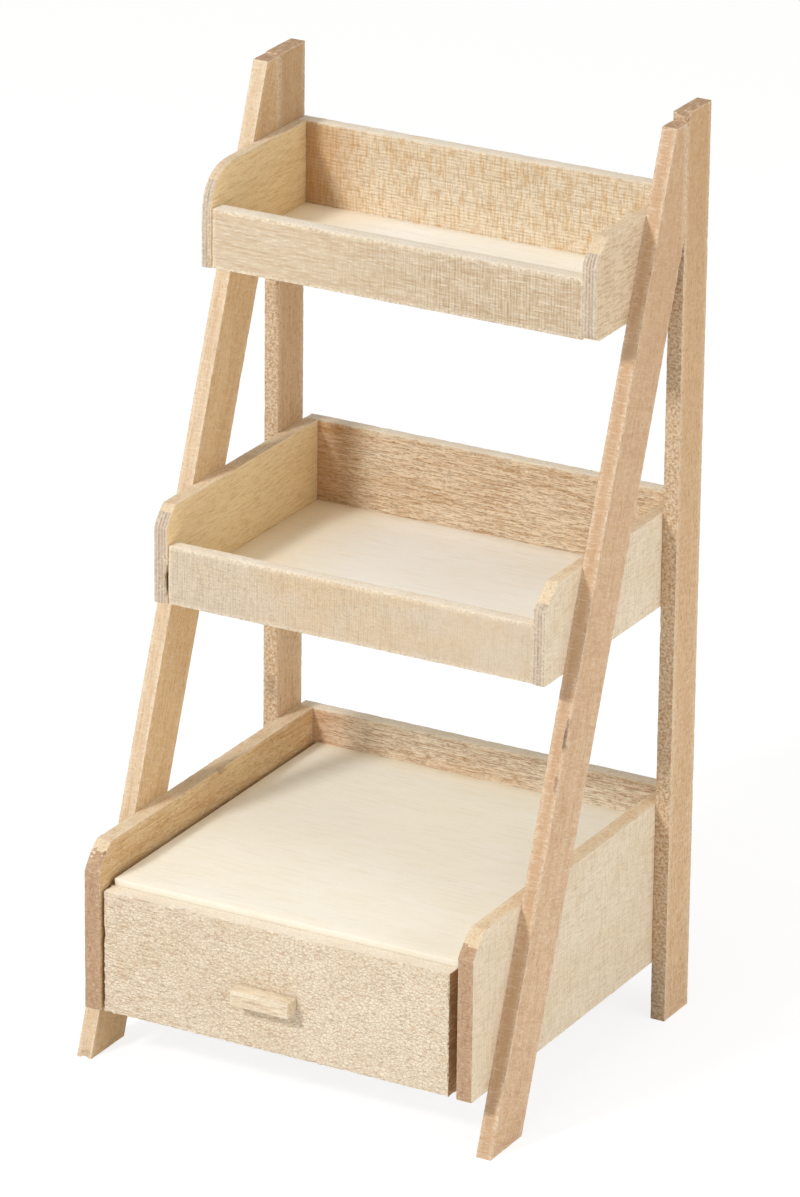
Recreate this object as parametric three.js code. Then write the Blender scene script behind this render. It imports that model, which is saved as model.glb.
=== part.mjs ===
// A small wooden ladder stand for plants: two ladder sides, three trays between them,
// and a drawer under the lowest one. Every joint is a glued butt or mitre joint.
//
// Millimetres. X runs to the right, Y to the back and Z up. The origin is on the
// ground, at the middle of the stand's outline seen from above.

import * as THREE from "three";

// --- Ladder sides -------------------------------------------------------------

const bayWidth = 80; // clear width between the two ladder sides
const stripThickness = 3; // both strips of a ladder side
const postWidth = 9.4; // rear post, front to back
const postHeight = 176.2; // the taller post
const postTopDrop = { left: 2.4, right: 0 }; // each post's top below that height
const legWidth = 11; // front leg, square to its length
const legTopWidth = 3.3; // in front of the post, at that height
const legFootReach = 76.8; // from the post's rear face to the leg's toe
const legTopDrop = { left: 0.3, right: 1.7 }; // leg's cut top below the post's top

// --- Trays --------------------------------------------------------------------

// reach is from the post's rear face to the front, and behind past that face to the rear.
// corner is the cut at the front top of a side: its length, its drop, and its bow, which
// is 0 for a straight cut and 1 for a full round. toe is the worn lower front corner.
const topTrayDrop = 35; // its underside below the top of the taller post
const topTray = {
  underside: postHeight - topTrayDrop,
  height: 18.4,
  reach: 37.2,
  behind: 0,
  sideThickness: { left: 1.9, right: 2.8 },
  backThickness: 2.8,
  frontThickness: 3.2,
  frontHeight: 11.3,
  frontInset: 0.4,
  floorThickness: 2.7,
  corner: {
    left: { length: 9.6, drop: 9, bow: 1 },
    right: { length: 4.9, drop: 4.4, bow: 0.4 },
  },
  toe: { left: 0.3, right: 2.2 },
};
const middleTray = {
  underside: 82.1,
  height: 18.3,
  reach: 54,
  behind: 3.3,
  sideThickness: { left: 2.7, right: 2.4 },
  backThickness: 2.6,
  frontThickness: 2.8,
  frontHeight: 11.3,
  frontInset: 0.4,
  floorThickness: 2.5,
  corner: {
    left: { length: 3.3, drop: 3.7, bow: 0.25 },
    right: { length: 4.9, drop: 4.1, bow: 0.15 },
  },
  toe: { left: 0.3, right: 0.3 },
};

// --- Base unit ----------------------------------------------------------------

const base = {
  underside: 11.3,
  height: 31.9,
  reach: 78.7,
  behind: 1.5,
  sideThickness: 3.1,
  backThickness: 2.7,
  floorThickness: 2,
  corner: {
    left: { length: 4.4, drop: 4.8, bow: 0.2 },
    right: { length: 4.8, drop: 4.4, bow: 0.25 },
  },
  toe: { left: 0.3, right: 0.3 },
};
const shelfTop = 25.1; // above the base unit's underside
const shelfThickness = 1.6;
const shelfFrontGap = 0.35; // between its front edge and the back of the drawer front
const shelfSideGap = 1; // open line along the left side

// --- Drawer -------------------------------------------------------------------

const drawerInset = 0.6; // drawer face behind the fronts of the sides
const drawerFrontThickness = 3.1;
const drawerFrontDrop = 0.3; // lower edge below the base unit's underside
const drawerFrontLap = 0.3; // upper edge above the shelf's underside
const drawerClearance = { left: 0.4, right: 1.9, under: 0.3, over: 4.7, rear: 2 }; // in its bay
const drawerWall = 2;
const drawerBottomThickness = 1.6;
const drawerBottomRise = 0.8; // above the lower edges of its walls
const floorEdgeGap = 0.3; // between the base floor and the drawer front
const pull = { length: 12, height: 3.1, depth: 3.1 };
const pullOffset = { x: -1.4, z: -1.4 }; // from the middle of the drawer front

// --- Wood ---------------------------------------------------------------------

function wood(colour, roughness) {
  return { color: colour, roughness, metalness: 0 };
}
const sawnStrip = wood("#d8b48a", 0.8);
const sawnBoard = wood("#e2c69c", 0.85);
const coarseBoard = wood("#e8d6b8", 0.9);
const smoothPanel = wood("#f1e2c2", 0.6);

// --- Shapes -------------------------------------------------------------------

const cornerSegments = 8; // straight steps in each rounded corner

function addPiece(parent, name, geometry, finish) {
  const piece = new THREE.Mesh(geometry, new THREE.MeshStandardMaterial(finish));
  piece.name = name;
  parent.add(piece);
  return piece;
}

// A board whose faces are square to the axes, from its lowest to its highest corner.
function addBoard(parent, name, low, high, finish) {
  const size = high.map((value, axis) => value - low[axis]);
  const piece = addPiece(parent, name, new THREE.BoxGeometry(...size), finish);
  piece.position.set(...low.map((value, axis) => value + size[axis] / 2));
  return piece;
}

// A board cut to an outline drawn in Y and Z, from x to x + thickness.
function addProfile(parent, name, outline, x, thickness, finish) {
  const settings = { depth: thickness, bevelEnabled: false, curveSegments: cornerSegments };
  const piece = addPiece(parent, name, new THREE.ExtrudeGeometry(outline, settings), finish);
  piece.quaternion.set(0.5, 0.5, 0.5, 0.5); // turns the drawing plane to Y and Z
  piece.position.x = x;
  return piece;
}

// Left is the side at -X, and right the side at +X.
function innerToOuter(side, inner, thickness) {
  return side === "left" ? -inner - thickness : inner;
}

// --- Ladder sides -------------------------------------------------------------

function legOutline(top) {
  const slope = (legFootReach - postWidth - legTopWidth) / postHeight; // run over rise
  const footLength = legWidth * Math.hypot(1, slope);
  const notchHeight = (legFootReach - footLength - postWidth) / slope;
  const outline = new THREE.Shape();
  outline.moveTo(-legFootReach, 0);
  outline.lineTo(-legFootReach + footLength, 0);
  outline.lineTo(-postWidth, notchHeight);
  outline.lineTo(-postWidth, top);
  outline.lineTo(-legFootReach + top * slope, top);
  outline.closePath();
  return outline;
}

function addLadderSide(parent, side) {
  const x = innerToOuter(side, bayWidth / 2, stripThickness);
  const postLow = [x, -postWidth, 0];
  const postTop = postHeight - postTopDrop[side];
  const postHigh = [x + stripThickness, 0, postTop];
  addBoard(parent, `${side}_rear_post`, postLow, postHigh, sawnStrip);
  const outline = legOutline(postTop - legTopDrop[side]);
  addProfile(parent, `${side}_front_leg`, outline, x, stripThickness, sawnStrip);
}

// --- Trays --------------------------------------------------------------------

// The left or right side of a tray or of the base unit, seen square on.
function sideOutline(unit, side) {
  const front = -unit.reach;
  const rear = unit.behind - unit.backThickness;
  const top = unit.underside + unit.height;
  const { length, drop, bow } = unit.corner[side];
  const toe = unit.toe[side];
  const bend = new THREE.Vector2(front + length / 2, top - drop / 2); // middle of a straight cut
  bend.lerp(new THREE.Vector2(front, top), bow);
  const outline = new THREE.Shape();
  outline.moveTo(rear, unit.underside);
  outline.lineTo(rear, top);
  outline.lineTo(front + length, top);
  outline.quadraticCurveTo(bend.x, bend.y, front, top - drop);
  outline.lineTo(front, unit.underside + toe);
  outline.quadraticCurveTo(front, unit.underside, front + toe, unit.underside);
  outline.closePath();
  return outline;
}

function addTray(parent, name, tray) {
  const { underside, height, reach, behind, sideThickness, backThickness } = tray;
  const halfBay = bayWidth / 2;
  for (const side of ["left", "right"]) {
    const thickness = sideThickness[side];
    const x = innerToOuter(side, halfBay - thickness, thickness);
    addProfile(parent, `${name}_${side}_side`, sideOutline(tray, side), x, thickness, sawnBoard);
  }
  const left = -halfBay + sideThickness.left;
  const right = halfBay - sideThickness.right;
  const backFace = behind - backThickness;
  const frontFace = -reach + tray.frontInset;
  const stripRear = frontFace + tray.frontThickness;
  const stripTop = underside + tray.frontHeight;
  const floorTop = underside + tray.floorThickness;
  const top = underside + height;
  addBoard(parent, `${name}_front`, [left, frontFace, underside], [right, stripRear, stripTop], sawnBoard);
  addBoard(parent, `${name}_back`, [-halfBay, backFace, underside], [halfBay, behind, top], sawnBoard);
  addBoard(parent, `${name}_floor`, [left, stripRear, underside], [right, backFace, floorTop], smoothPanel);
}

// --- Base unit ----------------------------------------------------------------

const halfBay = bayWidth / 2;
const drawerBay = halfBay - base.sideThickness; // half the clear width for the drawer
const baseBackFace = base.behind - base.backThickness;
const drawerFace = -base.reach + drawerInset;
const drawerFrontRear = drawerFace + drawerFrontThickness;
const baseFloorTop = base.underside + base.floorThickness;
const shelfHigh = base.underside + shelfTop;
const shelfLow = shelfHigh - shelfThickness;

function addBase(parent) {
  for (const side of ["left", "right"]) {
    const x = innerToOuter(side, drawerBay, base.sideThickness);
    addProfile(parent, `base_${side}_side`, sideOutline(base, side), x, base.sideThickness, sawnBoard);
  }
  const top = base.underside + base.height;
  const backLow = [-halfBay, baseBackFace, base.underside];
  addBoard(parent, "base_back", backLow, [halfBay, base.behind, top], sawnBoard);
  const shelfFrontLow = [-drawerBay + shelfSideGap, drawerFrontRear + shelfFrontGap, shelfLow];
  addBoard(parent, "base_shelf", shelfFrontLow, [drawerBay, baseBackFace, shelfHigh], smoothPanel);
  const floorLow = [-drawerBay, drawerFrontRear + floorEdgeGap, base.underside];
  addBoard(parent, "base_floor", floorLow, [drawerBay, baseBackFace, baseFloorTop], smoothPanel);
}

// --- Drawer -------------------------------------------------------------------

function addDrawer(parent) {
  const left = -drawerBay + drawerClearance.left;
  const right = drawerBay - drawerClearance.right;
  const rear = baseBackFace - drawerClearance.rear;
  const frontLow = base.underside - drawerFrontDrop;
  const frontTop = shelfLow + drawerFrontLap;
  const frontHigh = [right, drawerFrontRear, frontTop];
  addBoard(parent, "drawer_front", [left, drawerFace, frontLow], frontHigh, coarseBoard);

  const low = baseFloorTop + drawerClearance.under;
  const wallTop = shelfLow - drawerClearance.over;
  const backFace = rear - drawerWall;
  for (const side of ["left", "right"]) {
    const x = side === "left" ? left : right - drawerWall;
    const wallHigh = [x + drawerWall, rear, wallTop];
    addBoard(parent, `drawer_${side}_side`, [x, drawerFrontRear, low], wallHigh, sawnBoard);
  }
  const insideLeft = left + drawerWall;
  const insideRight = right - drawerWall;
  addBoard(parent, "drawer_back", [insideLeft, backFace, low], [insideRight, rear, wallTop], sawnBoard);
  const bottomLow = low + drawerBottomRise;
  const bottomHigh = [insideRight, backFace, bottomLow + drawerBottomThickness];
  addBoard(parent, "drawer_bottom", [insideLeft, drawerFrontRear, bottomLow], bottomHigh, smoothPanel);

  const pullX = (left + right) / 2 + pullOffset.x;
  const pullZ = (frontLow + frontTop) / 2 + pullOffset.z;
  const pullLow = [pullX - pull.length / 2, drawerFace - pull.depth, pullZ - pull.height / 2];
  const pullHigh = [pullX + pull.length / 2, drawerFace, pullZ + pull.height / 2];
  addBoard(parent, "drawer_pull", pullLow, pullHigh, sawnStrip);
}

// --- Stand --------------------------------------------------------------------

const frontmost = Math.max(base.reach, pull.depth - drawerFace, legFootReach);
const rearmost = Math.max(0, topTray.behind, middleTray.behind, base.behind);

const stand = new THREE.Group();
stand.position.y = (frontmost - rearmost) / 2; // puts the origin under the middle
addLadderSide(stand, "left");
addLadderSide(stand, "right");
addTray(stand, "top_tray", topTray);
addTray(stand, "middle_tray", middleTray);
addBase(stand);
addDrawer(stand);

export default stand;
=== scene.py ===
import math
import random

import bpy
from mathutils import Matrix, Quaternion, Vector, noise


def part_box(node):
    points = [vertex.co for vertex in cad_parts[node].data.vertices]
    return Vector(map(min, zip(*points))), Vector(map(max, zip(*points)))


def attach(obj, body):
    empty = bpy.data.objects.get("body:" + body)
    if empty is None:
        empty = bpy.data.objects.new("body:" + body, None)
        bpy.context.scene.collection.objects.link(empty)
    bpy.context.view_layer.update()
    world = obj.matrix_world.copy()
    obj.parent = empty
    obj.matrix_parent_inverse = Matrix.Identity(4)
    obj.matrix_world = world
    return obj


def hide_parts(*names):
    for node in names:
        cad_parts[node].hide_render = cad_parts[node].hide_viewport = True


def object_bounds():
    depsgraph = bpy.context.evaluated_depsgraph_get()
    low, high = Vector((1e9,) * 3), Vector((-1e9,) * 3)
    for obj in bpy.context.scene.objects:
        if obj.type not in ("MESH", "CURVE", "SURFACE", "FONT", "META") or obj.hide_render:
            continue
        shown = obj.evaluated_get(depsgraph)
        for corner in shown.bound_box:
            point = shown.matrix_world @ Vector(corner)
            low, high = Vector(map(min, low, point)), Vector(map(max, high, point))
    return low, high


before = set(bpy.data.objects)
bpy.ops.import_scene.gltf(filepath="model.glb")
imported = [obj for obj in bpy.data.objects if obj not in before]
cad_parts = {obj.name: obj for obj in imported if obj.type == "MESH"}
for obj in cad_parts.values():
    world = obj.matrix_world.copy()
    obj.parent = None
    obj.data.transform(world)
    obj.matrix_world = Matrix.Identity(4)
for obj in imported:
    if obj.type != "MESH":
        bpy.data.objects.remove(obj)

mm = 0.001
cadBounds = [list(corner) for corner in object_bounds()]
random.seed(12)


# Colours are written as sRGB hex and used as linear light.
def linear(hexColour):
    channels = [int(hexColour[place:place + 2], 16) / 255 for place in (1, 3, 5)]
    return [c / 12.92 if c <= 0.04045 else ((c + 0.055) / 1.055) ** 2.4 for c in channels] + [1]


# Adds one node, sets its settings, and fills its inputs with values or other nodes' outputs.
def addNode(tree, kind, inputs, **settings):
    node = tree.nodes.new(kind)
    for name, value in settings.items():
        setattr(node, name, value)
    for name, value in inputs.items():
        if isinstance(value, bpy.types.NodeSocket):
            tree.links.new(value, node.inputs[name])
        else:
            node.inputs[name].default_value = value
    return node


view = {
    "place": (0.59291, -1.06820, 0.57294),  # metres, found by fitting the photograph's edges
    "yaw": 28.93,  # degrees to the right of the stand's front
    "pitch": 21.74,  # degrees down
    "roll": 0.62,
    "lens": 219.8,
}
# A lamp has the way its light travels, what it aims at, how far off and how wide it is in metres, and
# a level: at 1 a white face turned straight to it is lit to white.
studio = {
    "world": (0.42, "#fffdf9"),  # strength and colour of the light from all round
    "key": {"travel": (0.52, 1.3, -1.0), "aim": (0, 0, 0.08), "far": 1.2, "size": 0.17, "level": 0.56},
    "side": {"travel": (-1, 0.12, -0.2), "aim": (0.02, 0, 0.05), "far": 0.6, "size": 0.5, "level": 0.42},
    "top": {"travel": (0.05, 0.15, -1), "aim": (0, 0, 0.08), "far": 2, "size": 1.4, "level": 0.2},
    "floorWidth": 8,
    "floorLit": 0.9,  # the grey that throws light back on the stand
    "floorGlow": 0.8, "floorSeen": 0.28,  # to the camera: its own light, and the grey that takes shadow
}


def addCamera():
    camera = bpy.data.objects.new("camera", bpy.data.cameras.new("camera"))
    bpy.context.scene.collection.objects.link(camera)
    camera.location = view["place"]
    camera.rotation_mode = "QUATERNION"
    turn = Quaternion((0, 0, 1), math.radians(view["yaw"]))
    tilt = Quaternion((1, 0, 0), math.radians(90 - view["pitch"]))
    camera.rotation_quaternion = turn @ tilt @ Quaternion((0, 0, 1), math.radians(view["roll"]))
    camera.data.lens = view["lens"]
    bpy.context.scene.camera = camera


# A round soft box, as far from what it aims at as "far" says.
def addLamp(name):
    lamp = studio[name]
    light = bpy.data.objects.new(name + " light", bpy.data.lights.new(name + " light", "AREA"))
    bpy.context.scene.collection.objects.link(light)
    travel = Vector(lamp["travel"]).normalized()
    light.location = Vector(lamp["aim"]) - travel * lamp["far"]
    light.rotation_mode = "QUATERNION"
    light.rotation_quaternion = travel.to_track_quat("-Z", "Y")
    light.data.shape = "DISK"
    light.data.size = lamp["size"]
    light.data.energy = math.pi ** 2 * lamp["far"] ** 2 * lamp["level"]


# Shows the second shader to the camera, in gloss and through glass, and lights the stand with the first.
def addTwoFaced(tree, lighting, shown):
    path = addNode(tree, "ShaderNodeLightPath", {})
    looked = path.outputs["Is Camera Ray"]
    for ray in ("Is Glossy Ray", "Is Transmission Ray"):
        looked = addNode(tree, "ShaderNodeMath", {
            0: looked, 1: path.outputs[ray]}, operation="MAXIMUM").outputs[0]
    return addNode(tree, "ShaderNodeMixShader", {
        0: looked, 1: lighting.outputs[0], 2: shown.outputs[0]}).outputs[0]


# A plain world that looks white and lights at its own strength.
def addWorld():
    world = bpy.data.worlds.new("studio")
    bpy.context.scene.world = world
    world.use_nodes = True
    tree = world.node_tree
    tree.nodes.clear()
    strength, colour = studio["world"]
    light = addNode(tree, "ShaderNodeBackground", {"Color": linear(colour), "Strength": strength})
    white = addNode(tree, "ShaderNodeBackground", {"Color": (1, 1, 1, 1), "Strength": 1})
    addNode(tree, "ShaderNodeOutputWorld", {"Surface": addTwoFaced(tree, light, white)})


# White table top: to the camera it is nearly white of itself and still takes the stand's shadow.
def addFloor():
    bpy.ops.object.select_all(action="DESELECT")
    bpy.ops.mesh.primitive_plane_add(size=studio["floorWidth"])
    floor = bpy.context.object
    floor.name = "floor"
    material = bpy.data.materials.new("white table")
    material.use_nodes = True
    tree = material.node_tree
    tree.nodes.clear()
    paper = addNode(tree, "ShaderNodeBsdfDiffuse", {"Color": (studio["floorLit"],) * 3 + (1,)})
    glow = addNode(tree, "ShaderNodeEmission", {"Color": (1, 1, 1, 1), "Strength": studio["floorGlow"]})
    dim = addNode(tree, "ShaderNodeBsdfDiffuse", {"Color": (studio["floorSeen"],) * 3 + (1,)})
    white = addNode(tree, "ShaderNodeAddShader", {0: glow.outputs[0], 1: dim.outputs[0]})
    addNode(tree, "ShaderNodeOutputMaterial", {"Surface": addTwoFaced(tree, paper, white)})
    floor.data.materials.append(material)


addCamera()
addWorld()
for lampName in ("key", "side", "top"):
    addLamp(lampName)
addFloor()
bpy.context.scene.view_settings.view_transform = "Standard"
print("camera, light and floor are set")


# What a finish has where it says nothing else, in mm and degrees.
plainFinish = {
    "turn": 0,  # about X, so that the grain follows a leaning leg
    "grit": 0.3, "dust": "#c9aa80", "gritSize": 0.28, "gritHeight": -0.12,  # fine dust and dents all over
    "edge": 0.6, "edgeColour": "#f1e4cd", "fuzzSize": 0.5,  # how the worn edges pale
    "crackColour": "#54351f",
    "rough": 0.75, "ior": 1.5, "gloss": 0.3,  # bare wood, hardly any shine
}
fineRange = (0.35, 0.65)  # the part of the noise that shows as grit or fuzz
grainDetail = {"Detail": 3, "Roughness": 0.55}
sawLines = {"Distortion": 2.2, "Detail": 3, "Detail Scale": 0.7, "Detail Roughness": 0.6}
seedShift = (0.37, 0.61, 0.83)  # metres that each next seed moves a pattern
markStep, gritStep = 1.7, 5  # seeds from one mark of a finish to the next, and to its grit


# A mark is one trace of the wood or the saw: kind, size in mm along X, Y and Z, the range of the
# pattern that shows, how strongly it colours, colour, and its height in mm (below 0 is a hollow).
# "fibre" is stretched noise, "lineX" and "lineZ" are saw lines one after another along that axis,
# "speck" is scattered cells and "crevice" the seams between cells. Real fibres and pores are under
# 0.1 mm wide, which the render can't show, so they are drawn 0.2 to 0.4 mm wide.
def addMark(tree, place, mark, seed, turn):
    kind, size, low, high, amount = mark[:5]
    put = addNode(tree, "ShaderNodeMapping", {
        "Vector": place, "Location": [seed * step for step in seedShift],
        "Rotation": (math.radians(turn), 0, 0), "Scale": [value * mm for value in size]},
        vector_type="TEXTURE")
    where = {"Vector": put.outputs[0], "Scale": 1}
    if kind == "fibre":
        value = addNode(tree, "ShaderNodeTexNoise", {**where, **grainDetail}).outputs[0]
    elif kind == "speck":
        value = addNode(tree, "ShaderNodeTexVoronoi", where).outputs["Distance"]
    elif kind == "crevice":
        seams = addNode(tree, "ShaderNodeTexVoronoi", where, feature="DISTANCE_TO_EDGE")
        value = seams.outputs["Distance"]
    else:  # at this scale the wave node has one line to a unit
        lines = {**where, **sawLines, "Scale": math.pi / 10}
        value = addNode(tree, "ShaderNodeTexWave", lines, bands_direction=kind[-1]).outputs["Fac"]
    return addNode(tree, "ShaderNodeMapRange", {
        "Value": value, "From Min": low, "From Max": high, "To Min": 0, "To Max": amount}).outputs[0]


# Builds one wood: a base colour, its marks, grit, pale fibres where the edges are worn and dark
# cracks. A Mix node's colours are its inputs 6 and 7 and its output 2.
def makeWood(name, finish, seed):
    finish = {**plainFinish, **finish}
    material = bpy.data.materials.new(name)
    material.use_nodes = True
    tree = material.node_tree
    tree.nodes.clear()
    place = addNode(tree, "ShaderNodeTexCoord", {}).outputs["Object"]
    colour, height = linear(finish["base"]), 0
    for count, mark in enumerate(finish["marks"]):
        tint, rise = mark[5], mark[6]
        fac = addMark(tree, place, mark, seed + count * markStep, finish["turn"])
        if len(mark) > 7:  # only on one stretch of the piece: axis, where it starts, where it is full
            axis, start, full = mark[7]
            split = addNode(tree, "ShaderNodeSeparateXYZ", {"Vector": place})
            ramp = addNode(tree, "ShaderNodeMapRange", {
                "Value": split.outputs[axis], "From Min": start * mm, "From Max": full * mm})
            fac = addNode(tree, "ShaderNodeMath", {
                0: fac, 1: ramp.outputs[0]}, operation="MULTIPLY").outputs[0]
        colour = addNode(tree, "ShaderNodeMix", {
            "Factor": fac, 6: colour, 7: linear(tint)}, data_type="RGBA").outputs[2]
        if rise:
            height = addNode(tree, "ShaderNodeMath", {
                0: fac, 1: rise * mm, 2: height}, operation="MULTIPLY_ADD").outputs[0]
    gritMark = ("fibre", (finish["gritSize"],) * 3, *fineRange, finish["grit"])
    grit = addMark(tree, place, gritMark, seed + gritStep, 0)
    colour = addNode(tree, "ShaderNodeMix", {
        "Factor": grit, 6: colour, 7: linear(finish["dust"])}, data_type="RGBA").outputs[2]
    height = addNode(tree, "ShaderNodeMath", {
        0: grit, 1: finish["gritHeight"] * mm, 2: height}, operation="MULTIPLY_ADD").outputs[0]
    fuzzMark = ("fibre", (finish["fuzzSize"],) * 3, *fineRange, finish["edge"])
    fuzz = addMark(tree, place, fuzzMark, seed, 0)
    worn = addNode(tree, "ShaderNodeAttribute", {}, attribute_name="worn").outputs["Fac"]
    pale = addNode(tree, "ShaderNodeMath", {0: worn, 1: fuzz}, operation="MULTIPLY").outputs[0]
    colour = addNode(tree, "ShaderNodeMix", {
        "Factor": pale, 6: colour, 7: linear(finish["edgeColour"])}, data_type="RGBA").outputs[2]
    crack = addNode(tree, "ShaderNodeAttribute", {}, attribute_name="crack").outputs["Fac"]
    colour = addNode(tree, "ShaderNodeMix", {
        "Factor": crack, 6: colour, 7: linear(finish["crackColour"])}, data_type="RGBA").outputs[2]
    relief = addNode(tree, "ShaderNodeBump", {"Height": height, "Distance": 1, "Strength": 1})
    surface = addNode(tree, "ShaderNodeBsdfPrincipled", {
        "Base Color": colour, "Roughness": finish["rough"], "IOR": finish["ior"],
        "Specular IOR Level": finish["gloss"], "Normal": relief.outputs[0]})
    addNode(tree, "ShaderNodeOutputMaterial", {"Surface": surface.outputs[0]})
    return material


# sawn beech strip, seen on the narrow front faces of the leaning legs: pale pinkish, grain
# along the leg, fine saw marks across it
legFront = {
    "base": "#e0c9ab", "turn": -20, "rough": 0.85,
    "marks": [
        ("fibre", (6, 6, 34), 0.35, 0.75, 0.35, "#c9a079", 0),
        ("fibre", (0.35, 0.35, 5), 0.45, 0.72, 0.5, "#bd9068", -0.05),
        ("fibre", (2.4, 2.4, 0.3), 0.5, 0.72, 0.45, "#f3e5cf", 0.05),
        ("speck", (0.35, 0.35, 1.5), 0.3, 0.08, 0.5, "#a37547", -0.05),
    ],
}
# the right leg's front is a pinker brown
legFrontPink = dict(legFront, base="#c9a686")
# the same strip's planed broad faces: tan, dense short pores along the grain, faint cross bands
legSide = {
    "base": "#e6c699", "turn": -20, "rough": 0.78,
    "marks": [
        ("fibre", (9, 5, 60), 0.3, 0.7, 0.4, "#cfa070", 0),
        ("fibre", (0.4, 0.35, 7), 0.46, 0.72, 0.5, "#bb8a57", -0.04),
        ("fibre", (5, 2.2, 0.35), 0.5, 0.72, 0.35, "#f5e5ca", 0.04),
        ("speck", (0.4, 0.34, 1.6), 0.36, 0.1, 0.6, "#a06f3f", -0.05),
    ],
}
# the right leg's broad side: pinkish, banded across, and tanner towards its top, which is painted shade
legSidePink = {
    "base": "#e2c4a3", "turn": -20, "rough": 0.8,
    "marks": [
        ("fibre", (9, 4, 50), 0.3, 0.7, 0.4, "#c79a74", 0),
        ("fibre", (9, 9, 1.3), 0.45, 0.7, 0.28, "#b98a63", -0.03),
        ("fibre", (0.4, 0.32, 5), 0.46, 0.7, 0.5, "#b58560", -0.05),
        ("speck", (0.4, 0.34, 1.5), 0.36, 0.1, 0.62, "#97684a", -0.06),
        ("fibre", (4, 2, 0.3), 0.5, 0.7, 0.35, "#f6e8d3", 0.05),
        # painted shade: darker towards the top
        ("fibre", (40, 40, 60), 0.0, 0.2, 0.35, "#b98a5e", 0, ("Z", 50, 150)),
    ],
}
# the posts' planed broad sides: tan with dense dark pores, and tanner towards their tops, which is painted
# shade
postSide = {
    "base": "#e3c49e", "rough": 0.8,
    "marks": [
        ("fibre", (9, 3.5, 50), 0.3, 0.7, 0.4, "#c99b6e", 0),
        ("fibre", (0.4, 0.32, 4), 0.45, 0.7, 0.55, "#b98858", -0.06),
        ("speck", (0.4, 0.36, 1.5), 0.4, 0.1, 0.65, "#946338", -0.07),
        ("fibre", (4, 1.6, 0.3), 0.5, 0.7, 0.35, "#f5e6cc", 0.05),
        # painted shade: darker towards the top
        ("fibre", (40, 40, 60), 0.0, 0.2, 0.42, "#b58857", 0, ("Z", 60, 160)),
    ],
}
# the same post's narrow sawn front: brown, crossed by fine level saw marks
postFront = {
    "base": "#b08a60", "rough": 0.85, "grit": 0.1,
    "marks": [
        ("fibre", (5, 5, 26), 0.35, 0.75, 0.5, "#b48559", 0),
        ("fibre", (1.4, 2, 0.28), 0.47, 0.67, 0.35, "#e9d3b0", 0.02),
        ("fibre", (1.6, 2, 0.26), 0.5, 0.68, 0.3, "#99693c", -0.02),
        ("fibre", (0.4, 0.4, 5), 0.5, 0.72, 0.45, "#a3764a", -0.02),
    ],
}
# sawn lime strip, top front: wavy beige grain, turning to fine upright saw lines on the right
topFront = {
    "base": "#d3c4ad", "rough": 0.88, "edge": 0.9,
    "marks": [
        ("fibre", (22, 9, 4), 0.35, 0.75, 0.4, "#d2b48e", 0),
        ("fibre", (5, 2, 0.34), 0.46, 0.66, 0.55, "#b8926a", -0.06),
        ("fibre", (2, 1, 0.28), 0.5, 0.7, 0.5, "#f5ecdb", 0.05),
        ("fibre", (0.3, 1, 3.2), 0.47, 0.66, 0.62, "#a58660", -0.09, ("X", -26, 8)),
        ("lineX", (0.62, 9, 26), 0.55, 1.0, 0.4, "#a98a66", -0.07, ("X", -14, 14)),
        ("fibre", (3, 1, 0.3), 0.52, 0.68, 0.5, "#f7efe0", 0.06, ("X", -20, 8)),
    ],
}
# middle front strip: greyer and paler, dotted by fine saw lines both ways
middleFront = {
    "base": "#d9cbb7", "rough": 0.9, "edge": 0.9,
    "marks": [
        ("fibre", (16, 9, 7), 0.48, 0.72, 0.5, "#d9bf97", 0),
        ("fibre", (0.22, 1, 3.4), 0.5, 0.64, 0.36, "#a38a6a", -0.07),
        ("fibre", (1.8, 1, 0.2), 0.52, 0.66, 0.34, "#b1916c", -0.07),
        ("lineX", (0.5, 9, 20), 0.6, 1.0, 0.22, "#a8957a", -0.05),
        ("fibre", (0.4, 1, 0.26), 0.54, 0.66, 0.4, "#f9f2e4", 0.07),
        ("speck", (1.1, 1, 0.4), 0.12, 0.04, 0.6, "#8f7350", -0.08),
        ("fibre", (9, 9, 6), 0.3, 0.7, 0.5, "#dcb98c", 0, ("X", -24, -6)),
        ("fibre", (9, 9, 6), 0.2, 0.6, 0.5, "#d9cdbb", 0, ("X", 4, 22)),
    ],
}
# top back strip: cream, cross-hatched by short golden upright streaks and fine level saw lines, and
# golden brown at its left end, which is painted warm shade
topBack = {
    "base": "#f8eedb", "rough": 0.88, "edge": 0.9,
    "marks": [
        ("fibre", (14, 9, 9), 0.4, 0.72, 0.3, "#efd3a4", 0),
        ("fibre", (0.42, 9, 3.2), 0.5, 0.6, 0.55, "#dbaa5c", -0.06),
        ("lineZ", (22, 9, 0.62), 0.5, 1.0, 0.34, "#c8a060", -0.07),
        ("fibre", (2.2, 9, 0.18), 0.53, 0.62, 0.4, "#b08750", -0.07),
        ("fibre", (0.2, 9, 1.8), 0.54, 0.66, 0.45, "#c9a05c", -0.06),
        ("fibre", (0.4, 9, 0.24), 0.56, 0.68, 0.6, "#fffcf4", 0.08),
        # painted warm shade at the left end, beside the side board
        ("fibre", (12, 9, 12), 0.0, 0.3, 0.8, "#bf8234", 0, ("X", -25, -39)),
    ],
}
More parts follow.
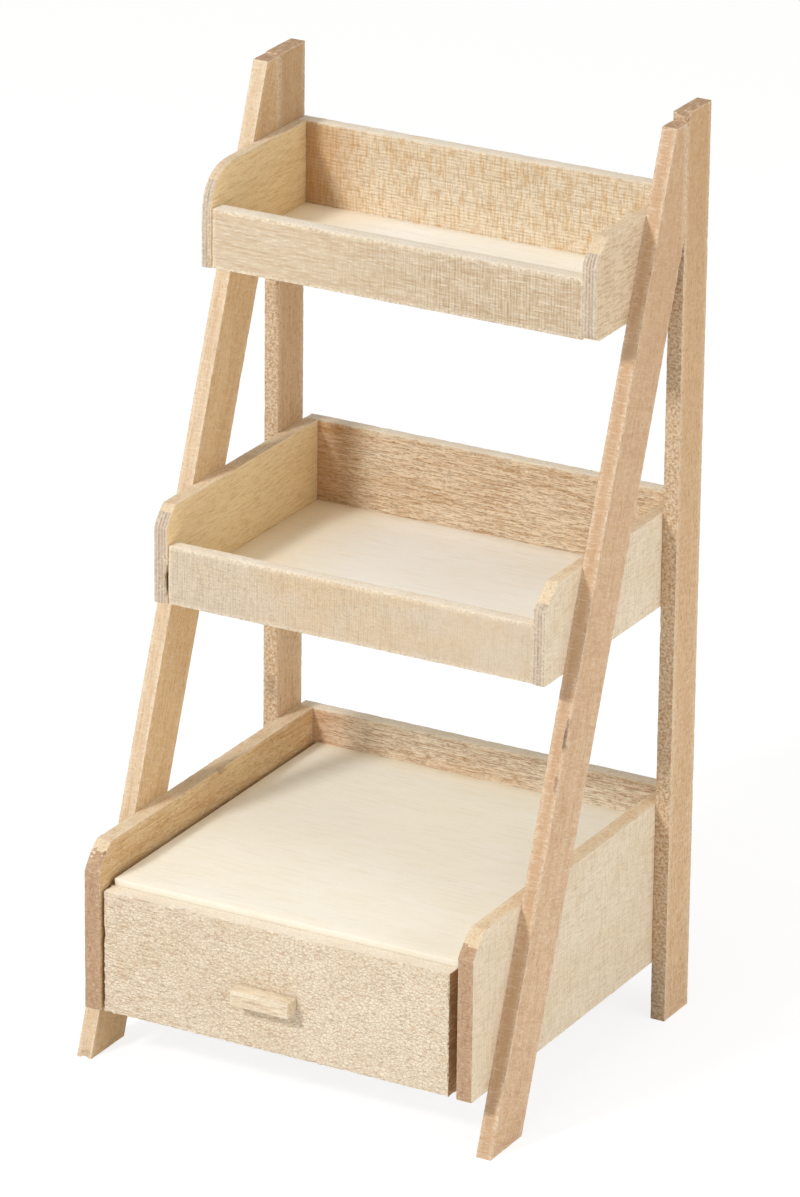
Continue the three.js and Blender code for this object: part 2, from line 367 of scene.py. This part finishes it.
# middle back strip: tan, wavy level grain with dense short dashes, painted warm shade at its left end
tanBack = {
    "base": "#f6e6cd", "rough": 0.85, "edge": 0.8,
    "marks": [
        ("fibre", (30, 9, 4), 0.35, 0.7, 0.45, "#e2bf93", 0),
        ("fibre", (11, 3, 0.34), 0.48, 0.62, 0.45, "#c9965f", -0.06),
        ("fibre", (2.2, 3, 0.19), 0.5, 0.62, 0.6, "#a9733d", -0.08),
        ("fibre", (1.1, 3, 0.2), 0.54, 0.63, 0.45, "#7f532c", -0.06),
        ("fibre", (0.8, 3, 0.22), 0.55, 0.66, 0.6, "#fff7e8", 0.08),
        # painted warm shade at the left end, beside the side board
        ("fibre", (12, 9, 12), 0.0, 0.3, 0.65, "#cb8439", 0, ("X", -26, -40)),
    ],
}
# the lowest back strip is paler, and has the same painted warm shade at its left end
paleBack = dict(tanBack, base="#fdf3e0")
# smooth birch plywood: cream, with only a faint grain along X
panel = {
    "base": "#fbf9f3", "rough": 0.6, "edge": 0.3, "grit": 0.08,
    "marks": [
        ("fibre", (26, 18, 14), 0.4, 0.75, 0.4, "#f3eacf", 0),
        ("fibre", (7, 0.6, 2), 0.5, 0.7, 0.25, "#e3d3b2", -0.02),
        ("fibre", (14, 5, 5), 0.55, 0.8, 0.4, "#faf8f2", 0),
        ("speck", (1.3, 0.4, 1), 0.14, 0.03, 0.3, "#cbb48d", -0.02),
    ],
}
# the shelf over the drawer is a little yellower
shelfPanel = dict(panel, base="#f6f2e6")
# the trays' floors turn golden towards the left side: painted warm shade and light thrown back by the side
paintedShadePanel = dict(panel, marks=panel["marks"] + [
    ("fibre", (20, 20, 20), 0.0, 0.25, 0.55, "#e9c46b", 0, ("X", -16, -42))])
# planed broad faces of the lime sides: golden, fine wavy grain from front to back
goldenSide = {
    "base": "#fae1b0", "rough": 0.72,
    "marks": [
        ("fibre", (9, 26, 5), 0.35, 0.72, 0.35, "#eac487", 0),
        ("fibre", (3, 4, 0.3), 0.48, 0.64, 0.42, "#cf9c5a", -0.06),
        ("fibre", (3, 2, 0.28), 0.5, 0.68, 0.4, "#fdefd0", 0.04),
        ("speck", (1, 1.5, 0.34), 0.22, 0.06, 0.45, "#b07f46", -0.05),
    ],
}
# planed beech side of the base: brown-tan with flecks
brownSide = {
    "base": "#e5c796", "rough": 0.78,
    "marks": [
        ("fibre", (9, 18, 5), 0.35, 0.68, 0.55, "#c8965f", 0),
        ("fibre", (3, 9, 0.5), 0.45, 0.66, 0.55, "#b9854f", -0.06),
        ("speck", (1, 1.7, 0.36), 0.34, 0.09, 0.65, "#8d5d30", -0.06),
        ("fibre", (3, 1.6, 0.3), 0.52, 0.68, 0.45, "#f9e9ca", 0.05),
    ],
}
# outer faces of the sides: cream, fine upright saw lines, slanting grain
creamSide = {
    "base": "#efe3cc", "rough": 0.85,
    "marks": [
        ("fibre", (9, 24, 8), 0.35, 0.75, 0.4, "#e3caa4", 0),
        ("fibre", (9, 0.3, 4), 0.48, 0.66, 0.45, "#cdb18a", -0.06),
        ("fibre", (9, 3, 0.32), 0.5, 0.68, 0.42, "#c6a67e", -0.05),
        ("speck", (1, 0.8, 0.4), 0.24, 0.06, 0.4, "#b08b60", -0.05),
        ("fibre", (9, 0.5, 0.3), 0.54, 0.7, 0.45, "#fdf8ee", 0.06),
    ],
}
# the top tray's outer side: fuzzier and browner
tanSide = dict(creamSide, base="#e6d0b2", marks=creamSide["marks"][:2] + [
    ("fibre", (9, 2.6, 0.4), 0.46, 0.66, 0.6, "#b08a62", -0.06),
    ("fibre", (9, 0.5, 0.3), 0.52, 0.68, 0.5, "#f6ead6", 0.06)])
# front ends of the tray sides: end grain in grey and pinkish upright layers
layeredEnd = {
    "base": "#cebca9", "rough": 0.92, "edge": 0.6,
    "marks": [
        ("lineX", (0.62, 30, 30), 0.4, 0.9, 0.7, "#a08e80", -0.08),
        ("fibre", (0.3, 4, 3), 0.5, 0.68, 0.5, "#8a7768", -0.06),
        ("fibre", (0.5, 4, 0.4), 0.5, 0.68, 0.5, "#f1e5d3", 0.05),
    ],
}
# front ends of the base's sides: pinkish brown end grain, fine slanting lines
brownEnd = {
    "base": "#b99679", "rough": 0.92, "edge": 0.15,
    "marks": [
        ("fibre", (6, 4, 2.4), 0.4, 0.7, 0.45, "#a98366", -0.03),
        ("fibre", (0.3, 2, 1.1), 0.48, 0.66, 0.6, "#8f6649", -0.07),
        ("fibre", (0.9, 2, 0.28), 0.5, 0.68, 0.45, "#e6d2b9", 0.05),
    ],
}
# crumbly sawn face of the drawer: off-white grains with thin tan crevices between them
crumblyFace = {
    "base": "#f6ebd6", "rough": 0.95, "edge": 1, "grit": 0.22, "dust": "#dcae74",
    "marks": [
        ("fibre", (20, 9, 9), 0.42, 0.75, 0.25, "#e6d3b0", 0),
        ("crevice", (0.85, 1, 0.55), 0.09, 0.0, 0.45, "#cb9250", -0.16),
        ("fibre", (0.8, 2, 0.26), 0.54, 0.66, 0.4, "#c28f55", -0.18),
        ("fibre", (0.34, 1, 0.3), 0.56, 0.68, 0.5, "#fffcf4", 0.16),
        ("speck", (1.7, 1, 0.5), 0.11, 0.04, 0.7, "#94704a", -0.12),
        ("fibre", (5, 2, 0.28), 0.52, 0.62, 0.4, "#c09a6c", -0.08, ("X", 8, -26)),
    ],
}
# tops of the posts and ends of the drawer's front: yellower end grain
darkEnd = dict(brownEnd, base="#b28c68")
# long top edges: near white fuzz left by the saw
paleEdge = {
    "base": "#f4ebdb", "rough": 0.92, "edge": 0.4,
    "marks": [
        ("fibre", (4, 4, 3), 0.4, 0.72, 0.45, "#e3cfb0", 0),
        ("fibre", (0.7, 0.4, 0.5), 0.5, 0.7, 0.35, "#cdb089", -0.05),
        ("fibre", (0.3, 0.3, 0.3), 0.5, 0.68, 0.45, "#fefbf4", 0.05),
    ],
}
# the sides' top edges: tan fuzz
tanEdge = dict(paleEdge, base="#e8d3b4", marks=[
    ("fibre", (4, 5, 3), 0.4, 0.7, 0.5, "#cfa87c", 0),
    ("fibre", (0.4, 0.9, 0.4), 0.48, 0.68, 0.45, "#b58a5e", -0.06),
    ("fibre", (0.25, 0.4, 0.25), 0.5, 0.66, 0.4, "#f7ead2", 0.05)])
# plain boards inside the drawer
plainBoard = {
    "base": "#e8d3b0", "rough": 0.8,
    "marks": [
        ("fibre", (24, 24, 5), 0.35, 0.7, 0.5, "#d2ac7c", 0),
        ("fibre", (5, 5, 0.5), 0.48, 0.72, 0.5, "#b98d5a", -0.05),
        ("speck", (1.4, 1.4, 0.5), 0.2, 0.05, 0.5, "#9c6f42", -0.05),
    ],
}
# the pull: a pale stick, grain along its length
pullStick = {
    "base": "#f0e3cb", "rough": 0.85, "edge": 0.8,
    "marks": [
        ("fibre", (7, 1.2, 1.2), 0.4, 0.7, 0.5, "#d0b089", -0.03),
        ("fibre", (3, 0.35, 0.3), 0.47, 0.66, 0.55, "#b3906a", -0.07),
        ("fibre", (0.6, 0.3, 0.3), 0.52, 0.68, 0.5, "#faf3e4", 0.05),
    ],
}
finishes = {
    "sawn beech leg front": legFront, "sawn beech leg front, pinkish": legFrontPink,
    "planed beech leg side": legSide, "planed beech leg side, pinkish": legSidePink,
    "planed beech post side": postSide, "sawn beech post front": postFront,
    "sawn lime strip, top front": topFront, "sawn lime strip, middle front": middleFront,
    "sawn lime strip, top back": topBack, "sawn beech strip, tan": tanBack,
    "sawn beech strip, pale": paleBack, "smooth birch plywood": panel, "golden birch plywood": paintedShadePanel,
    "yellowish birch plywood": shelfPanel, "planed lime side, golden": goldenSide,
    "planed beech side, brown": brownSide, "sawn lime side, cream": creamSide,
    "sawn lime side, tan": tanSide, "layered end grain": layeredEnd, "brown end grain": brownEnd,
    "dark end grain": darkEnd, "crumbly sawn lime": crumblyFace, "fuzzy pale edge": paleEdge,
    "fuzzy tan edge": tanEdge, "plain lime board": plainBoard, "sawn lime stick": pullStick,
}
woods = {name: makeWood(name, finish, seed) for seed, (name, finish) in enumerate(finishes.items(), 1)}
print(len(woods), "woods are mixed")


directions = {
    "left": Vector((-1, 0, 0)), "right": Vector((1, 0, 0)), "front": Vector((0, -1, 0)),
    "rear": Vector((0, 1, 0)), "under": Vector((0, 0, -1)), "top": Vector((0, 0, 1)),
}
shaping = {
    "merge": 0.02, "cutMerge": 0.001,  # mm within which points become one
    "flat": 1, "sharp": 32, "smooth": 38,  # degrees: made one face, rounded as an edge, shaded as one
    "edgeRows": 2,  # rows of faces round an edge
}
# These two tell a bevel's faces from the rest until a piece gets its woods.
marking = [bpy.data.materials.new(name) for name in ("plain face", "rounded edge")]


def selectOnly(piece):
    bpy.ops.object.select_all(action="DESELECT")
    piece.select_set(True)
    bpy.context.view_layer.objects.active = piece


# Copies a CAD board, merges its loose triangles into plain faces and cuts them into cells.
def copyBoard(node, cells):
    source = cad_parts[node]
    piece = source.copy()
    piece.data = source.data.copy()
    piece.name = node + "_worn"
    bpy.context.scene.collection.objects.link(piece)
    piece.data.materials.clear()
    selectOnly(piece)
    bpy.ops.object.mode_set(mode="EDIT")
    bpy.ops.mesh.select_all(action="SELECT")
    bpy.ops.mesh.remove_doubles(threshold=shaping["merge"] * mm)
    bpy.ops.mesh.dissolve_limited(angle_limit=math.radians(shaping["flat"]))
    low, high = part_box(node)
    for axis, cell in enumerate(cells):
        if not cell:  # left uncut along this axis
            continue
        length = high[axis] - low[axis]
        cuts = round(length / (cell * mm))
        for cut in range(1, cuts):
            spot = [0, 0, 0]
            spot[axis] = low[axis] + length * cut / cuts
            way = [0, 0, 0]
            way[axis] = 1
            bpy.ops.mesh.select_all(action="SELECT")
            bpy.ops.mesh.bisect(plane_co=spot, plane_no=way, threshold=shaping["cutMerge"] * mm)
    bpy.ops.mesh.select_all(action="SELECT")
    bpy.ops.mesh.normals_make_consistent(inside=False)
    bpy.ops.object.mode_set(mode="OBJECT")
    return piece


# Brings the shelf's front edge up to the back of the drawer front.
def reachForward(piece, node, reach):
    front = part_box(node)[0][1]
    for vertex in piece.data.vertices:
        if vertex.co.y < front + shaping["merge"] * mm:
            vertex.co.y -= reach * mm


# Rounds the edges slightly and remembers, in the attribute "worn", which points lie on them.
def roundEdges(piece, width):
    for material in marking:
        piece.data.materials.append(material)
    bevel = piece.modifiers.new("rounded edges", "BEVEL")
    bevel.width = width * mm
    bevel.segments = shaping["edgeRows"]
    bevel.limit_method = "ANGLE"
    bevel.angle_limit = math.radians(shaping["sharp"])
    bevel.material = 1
    bpy.ops.object.modifier_apply(modifier=bevel.name)
    worn = piece.data.attributes.new("worn", "FLOAT", "POINT")
    for face in piece.data.polygons:
        if face.material_index == 1:
            for point in face.vertices:
                worn.data[point].value = 1


nicks = {
    "dents": 0.9,  # mm, size of the small dents along an edge
    "bites": 2.3, "biteFrom": 0.3,  # mm, size of the deeper bites, and how rare they are
    "mean": 0.3, "dentDepth": 0.7, "biteDepth": 1.8,  # parts of the piece's nick depth
}


# Moves the points inwards: nicks along the edges, and a low relief all over where the row says.
def wearDown(piece, make):
    mesh = piece.data
    normals = [vertex.normal.copy() for vertex in mesh.vertices]
    worn = mesh.attributes["worn"].data
    shift = Vector((len(piece.name) * 3.1, 7.3, 1.9))  # starts the noise elsewhere for another name
    for vertex, normal in zip(mesh.vertices, normals):
        spot = vertex.co / mm
        if spot.y > make["sharpBeyond"]:
            continue
        depth = 0
        if worn[vertex.index].value > 0:
            dent = noise.noise(spot / nicks["dents"] + shift)
            bite = max(0, noise.noise(spot / nicks["bites"] + shift * 2) - nicks["biteFrom"])
            depth += make["nick"] * (nicks["mean"] + nicks["dentDepth"] * dent + nicks["biteDepth"] * bite)
        if make["relief"]:
            stretched = Vector([spot[axis] / make["grain"][axis] for axis in range(3)])
            depth += make["relief"] * (0.5 + 0.5 * noise.noise(stretched + shift))
        vertex.co -= normal * max(0, depth) * mm


flawShape = {
    "margin": 0.8, "cuts": 3,  # mm round the flaw that is cut finer, and into how many more cells
    "ragged": 0.35, "raggedSize": 0.9,  # how uneven its outline is
}


# Cuts the cells finer round each flaw, so that it can be pressed in.
def refineRound(piece, flaws):
    bpy.ops.object.mode_set(mode="EDIT")
    bpy.ops.mesh.select_all(action="DESELECT")
    bpy.ops.object.mode_set(mode="OBJECT")
    for flaw in flaws:
        middle = Vector(flaw["at"]) * mm
        reach = max(flaw["size"]) * mm + flawShape["margin"] * mm
        for face in piece.data.polygons:
            if (face.center - middle).length < reach:
                face.select = True
    bpy.ops.object.mode_set(mode="EDIT")
    bpy.ops.mesh.subdivide(number_cuts=flawShape["cuts"])
    bpy.ops.object.mode_set(mode="OBJECT")


# Presses chips, tear-outs and splits into the wood. A flaw has a place, radii, a push and a
# darkness, and may lean with a leg.
def pressFlaws(piece, flaws):
    crack = piece.data.attributes.new("crack", "FLOAT", "POINT")
    for flaw in flaws:
        middle = Vector(flaw["at"]) * mm
        lean = Quaternion((1, 0, 0), math.radians(flaw.get("lean", 0)))
        for vertex in piece.data.vertices:
            gap = lean @ (vertex.co - middle)
            far = math.sqrt(sum((gap[axis] / (flaw["size"][axis] * mm)) ** 2 for axis in range(3)))
            far += flawShape["ragged"] * noise.noise(vertex.co / mm * flawShape["raggedSize"])
            if far < 1:
                vertex.co += Vector(flaw["push"]) * mm * (1 - far * far)
                dark = flaw["dark"] * (1 - far ** 4)
                crack.data[vertex.index].value = max(crack.data[vertex.index].value, dark)


sliver = {
    "length": (0.6, 1.7), "footRadius": (0.05, 0.09), "tipRadius": 0.015,  # mm
    "lift": (0.05, 0.35), "stray": 0.12,  # how far it leans off the edge and strays, for each 1 along it
    "middle": 0.42,  # where its middle is along its length; under a half, so its foot is in the wood
}


# Thin slivers of wood that the saw left standing along an edge.
def addSlivers(piece, rows):
    slivers = []
    for start, end, count, out in rows:
        start, end = Vector(start), Vector(end)
        along = (end - start).normalized()
        for _ in range(count):
            foot = start.lerp(end, random.random())
            way = along * random.choice((-1, 1)) + Vector(out) * random.uniform(*sliver["lift"])
            way += Vector([random.uniform(-sliver["stray"], sliver["stray"]) for _ in range(3)])
            length = random.uniform(*sliver["length"])
            bpy.ops.object.select_all(action="DESELECT")
            bpy.ops.mesh.primitive_cone_add(
                vertices=4, radius1=random.uniform(*sliver["footRadius"]) * mm,
                radius2=sliver["tipRadius"] * mm, depth=length * mm,
                location=(foot + way.normalized() * length * sliver["middle"]) * mm,
                rotation=way.to_track_quat("Z", "Y").to_euler())
            slivers.append(bpy.context.object)
    selectOnly(piece)
    for made in slivers:
        made.select_set(True)
    bpy.ops.object.join()
    low, high = cadBounds  # no sliver may stand out of the whole model's box
    for vertex in piece.data.vertices:
        vertex.co = [min(max(vertex.co[axis], low[axis]), high[axis]) for axis in range(3)]


# Gives each face the wood of the side that it looks to.
def paintFaces(piece, faces):
    names = sorted(set(faces.values()))
    piece.data.materials.clear()
    for name in names:
        piece.data.materials.append(woods[name])
    for face in piece.data.polygons:
        side = max(directions, key=lambda name: directions[name].dot(face.normal))
        face.material_index = names.index(faces.get(side, faces["all"]))


# What a piece has where its row says nothing else, in mm.
plainPiece = {
    "nick": 0.1,  # how deep its edges are worn
    "round": 0.15,  # how wide its edges are rounded
    "relief": 0, "grain": (1, 1, 1),  # depth and size of the rough all over
    "sharpBeyond": math.inf,  # behind this Y it isn't worn
    "reach": 0,  # how far its front edge comes forward
    "flaws": [],
    "slivers": [],  # from, to, how many, which way they stand out
}


def makeWorn(node, body, row):
    make = {**plainPiece, **row}
    piece = copyBoard(node, make["cells"])
    if make["reach"]:
        reachForward(piece, node, make["reach"])
    roundEdges(piece, make["round"])
    if make["flaws"]:
        refineRound(piece, make["flaws"])
    wearDown(piece, make)
    pressFlaws(piece, make["flaws"])
    if make["slivers"]:
        addSlivers(piece, make["slivers"])
    paintFaces(piece, make["faces"])
    selectOnly(piece)
    bpy.ops.object.shade_smooth_by_angle(angle=math.radians(shaping["smooth"]))
    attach(piece, body)
    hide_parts(node)


# "cells" is how finely a piece is cut along X, Y and Z before it is worn (0 is uncut), and "faces"
# is the wood of each side, "all" where a side isn't named.
post = {
    "cells": (0, 1.6, 0.6), "nick": 0.08,
    "faces": {"all": "planed beech post side", "front": "sawn beech post front", "top": "dark end grain"},
}
leg = {"cells": (1, 1.6, 0.6), "nick": 0.08}
ladder = {
    "left_rear_post": {
        **post,
        "flaws": [{"at": (-41.4, 29.5, 49), "size": (1.2, 0.9, 3), "push": (0, 0.5, 0), "dark": 0.25}],
        "slivers": [((-40, 29.6, 60), (-40, 29.6, 138), 14, (0.4, -1, 0))],
    },
    "right_rear_post": {
        **post,
        "flaws": [{"at": (43, 29.5, 176.2), "size": (2, 2, 2.2), "push": (-0.3, 0.7, -0.9), "dark": 0.2}],
        "slivers": [((43, 29.6, 20), (43, 29.6, 150), 34, (0.5, -1, 0))],
    },
    "left_front_leg": {
        **leg,
        "flaws": [{"at": (-41.4, -37.9, 0.6), "size": (1.1, 1, 1.2), "push": (0, 0.4, 0.3), "dark": 0.2}],
        "slivers": [((-40, -16.6, 58), (-40, 14, 143), 30, (0.3, -1, 0))],
        "faces": {
            "all": "planed beech leg side", "front": "sawn beech leg front", "top": "brown end grain"},
    },
    "right_front_leg": {
        **leg,
        "flaws": [
            {"at": (42.7, -11.7, 72), "size": (0.45, 0.32, 3.6), "push": (-0.3, 0.2, 0),
             "dark": 0.7, "lean": 20},
            {"at": (42.5, -14.6, 64), "size": (0.4, 0.28, 2.6), "push": (-0.2, 0.15, 0),
             "dark": 0.45, "lean": 20},
        ],
        "slivers": [((43, -37, 2), (43, 24, 168), 30, (0.3, -1, 0))],
        "faces": {
            "all": "planed beech leg side, pinkish", "front": "sawn beech leg front, pinkish",
            "top": "brown end grain"},
    },
}
traySide = {"all": "planed lime side, golden", "front": "layered end grain", "top": "fuzzy tan edge"}
trays = {
    "top_tray_left_side": {
        "cells": (1, 0.7, 0.7), "slivers": [((-38.1, 12, 159.4), (-38.1, 36, 159.4), 10, (0.5, 0, 1))],
        "faces": {**traySide, "left": "sawn lime side, cream"},
    },
    "top_tray_right_side": {
        "cells": (1, 0.7, 0.7), "faces": {**traySide, "right": "sawn lime side, tan"}},
    "top_tray_front": {
        "cells": (1, 1, 1), "faces": {"all": "sawn lime strip, top front", "top": "fuzzy pale edge"}},
    "top_tray_back": {
        "cells": (0.7, 1, 0.7), "faces": {"all": "sawn lime strip, top back", "top": "fuzzy pale edge"}},
    "top_tray_floor": {"cells": (3, 3, 0), "nick": 0.05, "faces": {"all": "golden birch plywood"}},
    "middle_tray_left_side": {
        "cells": (1, 0.7, 0.7),
        "flaws": [
            {"at": (-37.4, -15, 86.6), "size": (0.45, 0.9, 3.4), "push": (-0.2, 0.8, 0), "dark": 0.9}],
        "faces": {**traySide, "left": "sawn lime side, cream"},
    },
    "middle_tray_right_side": {
        "cells": (1, 0.7, 0.7), "faces": {**traySide, "right": "sawn lime side, cream"}},
    "middle_tray_front": {
        "cells": (1, 1, 1), "faces": {"all": "sawn lime strip, middle front", "top": "fuzzy pale edge"}},
    "middle_tray_back": {
        "cells": (0.7, 1, 0.7), "faces": {"all": "sawn beech strip, tan", "top": "fuzzy pale edge"}},
    "middle_tray_floor": {"cells": (3, 3, 0), "nick": 0.05, "faces": {"all": "golden birch plywood"}},
}
baseSide = {"all": "planed beech side, brown", "front": "brown end grain", "top": "fuzzy tan edge"}
baseUnit = {
    "base_left_side": {
        "cells": (1, 0.7, 0.7),
        "flaws": [
            {"at": (-37.2, -38.4, 41.6), "size": (0.35, 1.2, 2), "push": (-0.2, 0, -0.3),
             "dark": 0.8, "lean": 40},
            {"at": (-37, 4, 43), "size": (0.8, 1.8, 0.9), "push": (-0.3, 0, -0.5), "dark": 0.28},
        ],
        "slivers": [((-40, -34, 43), (-40, 36, 43), 10, (0, 0, 1))],
        "faces": baseSide,
    },
    "base_right_side": {
        "cells": (1, 0.7, 0.7), "faces": {**baseSide, "right": "sawn lime side, cream"}},
    "base_back": {
        "cells": (0.7, 1, 0.7), "faces": {"all": "sawn beech strip, pale", "top": "fuzzy pale edge"}},
    "base_shelf": {
        "cells": (3, 3, 0), "nick": 0.02, "round": 0.08, "reach": 0.31,
        "faces": {"all": "yellowish birch plywood"}},
}
drawer = {
    "drawer_front": {
        "cells": (0.36, 1, 0.36), "nick": 0.3, "relief": 0.3, "grain": (0.6, 0.6, 0.45), "round": 0.1,
        "sharpBeyond": -37,
        "faces": {
            "all": "crumbly sawn lime", "right": "dark end grain", "left": "dark end grain",
            "top": "fuzzy pale edge"},
    },
    "drawer_pull": {
        "cells": (0.5, 0.5, 0.5), "nick": 0.08, "relief": 0.06, "grain": (3, 0.5, 0.5), "round": 0.1,
        "faces": {"all": "sawn lime stick"}},
}
for body, group in (("stand", ladder), ("stand", trays), ("stand", baseUnit), ("drawer", drawer)):
    for node, row in group.items():
        makeWorn(node, body, row)
    print(len(group), "worn pieces on the", body)
for material in marking:
    bpy.data.materials.remove(material)

# The plain boards inside and under the drawer keep their CAD shape.
inside = {
    "drawer_left_side": "plain lime board", "drawer_right_side": "plain lime board",
    "drawer_back": "plain lime board", "drawer_bottom": "smooth birch plywood",
    "base_floor": "smooth birch plywood",
}
for node, wood in inside.items():
    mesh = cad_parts[node].data
    mesh.materials.clear()
    mesh.materials.append(woods[wood])
print("the drawer's inside is finished")
